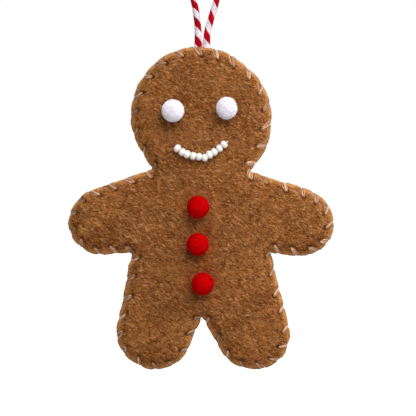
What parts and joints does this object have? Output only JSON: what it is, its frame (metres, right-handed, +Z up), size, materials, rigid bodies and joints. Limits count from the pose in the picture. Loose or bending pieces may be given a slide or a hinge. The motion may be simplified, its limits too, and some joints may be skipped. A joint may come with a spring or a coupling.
{
  "type": "felt christmas ornament",
  "caption": "Flat stuffed felt figure with round head, arms and legs, whip-stitched edge, ball eyes and buttons, beaded mouth and a twine loop to hang it by.",
  "frame": {"origin": "the point that the ornament hangs from, on the inner side of the top bend of its twine loop", "axes": "+Z up, -Y out of the face of the figure, +X to the right in front view"},
  "size_m": [0.0747, 0.0136, 0.1544],
  "materials": {
    "felt": "matte wool felt",
    "floss": "stranded cotton, slight sheen",
    "white_ball": "matte felted wool",
    "red_ball": "matte felted wool",
    "bead": "opaque white glass",
    "white_thread": "sewing thread",
    "twine": "red and white twisted cotton",
    "fibre": "loose fibre",
    "glue": "dried craft glue"
  },
  "bodies": {
    "loop": {"hanging_loop": "twine"},
    "figure": {"front_panel": "felt", "back_panel": "felt", "stuffing": "fibre", "edge_stitching": "floss", "eye_left": "white_ball", "eye_right": "white_ball", "button_top": "red_ball", "button_middle": "red_ball", "button_bottom": "red_ball", "glue_eye_left": "glue", "glue_eye_right": "glue", "glue_button_top": "glue", "glue_button_middle": "glue", "glue_button_bottom": "glue", "mouth_bead_01": "bead", "mouth_bead_02": "bead", "mouth_bead_03": "bead", "mouth_bead_04": "bead", "mouth_bead_05": "bead", "mouth_bead_06": "bead", "mouth_bead_07": "bead", "mouth_bead_08": "bead", "mouth_bead_09": "bead", "mouth_bead_10": "bead", "mouth_thread": "white_thread", "loop_anchor": "twine"}
  },
  "joints": [
    {"name": "figure_swing", "type": "hinge", "parent": "loop", "child": "figure", "pos_m": [0, 0, -0.06045], "axis": [1, 0, 0], "range_deg": [-85, 85]}
  ]
}
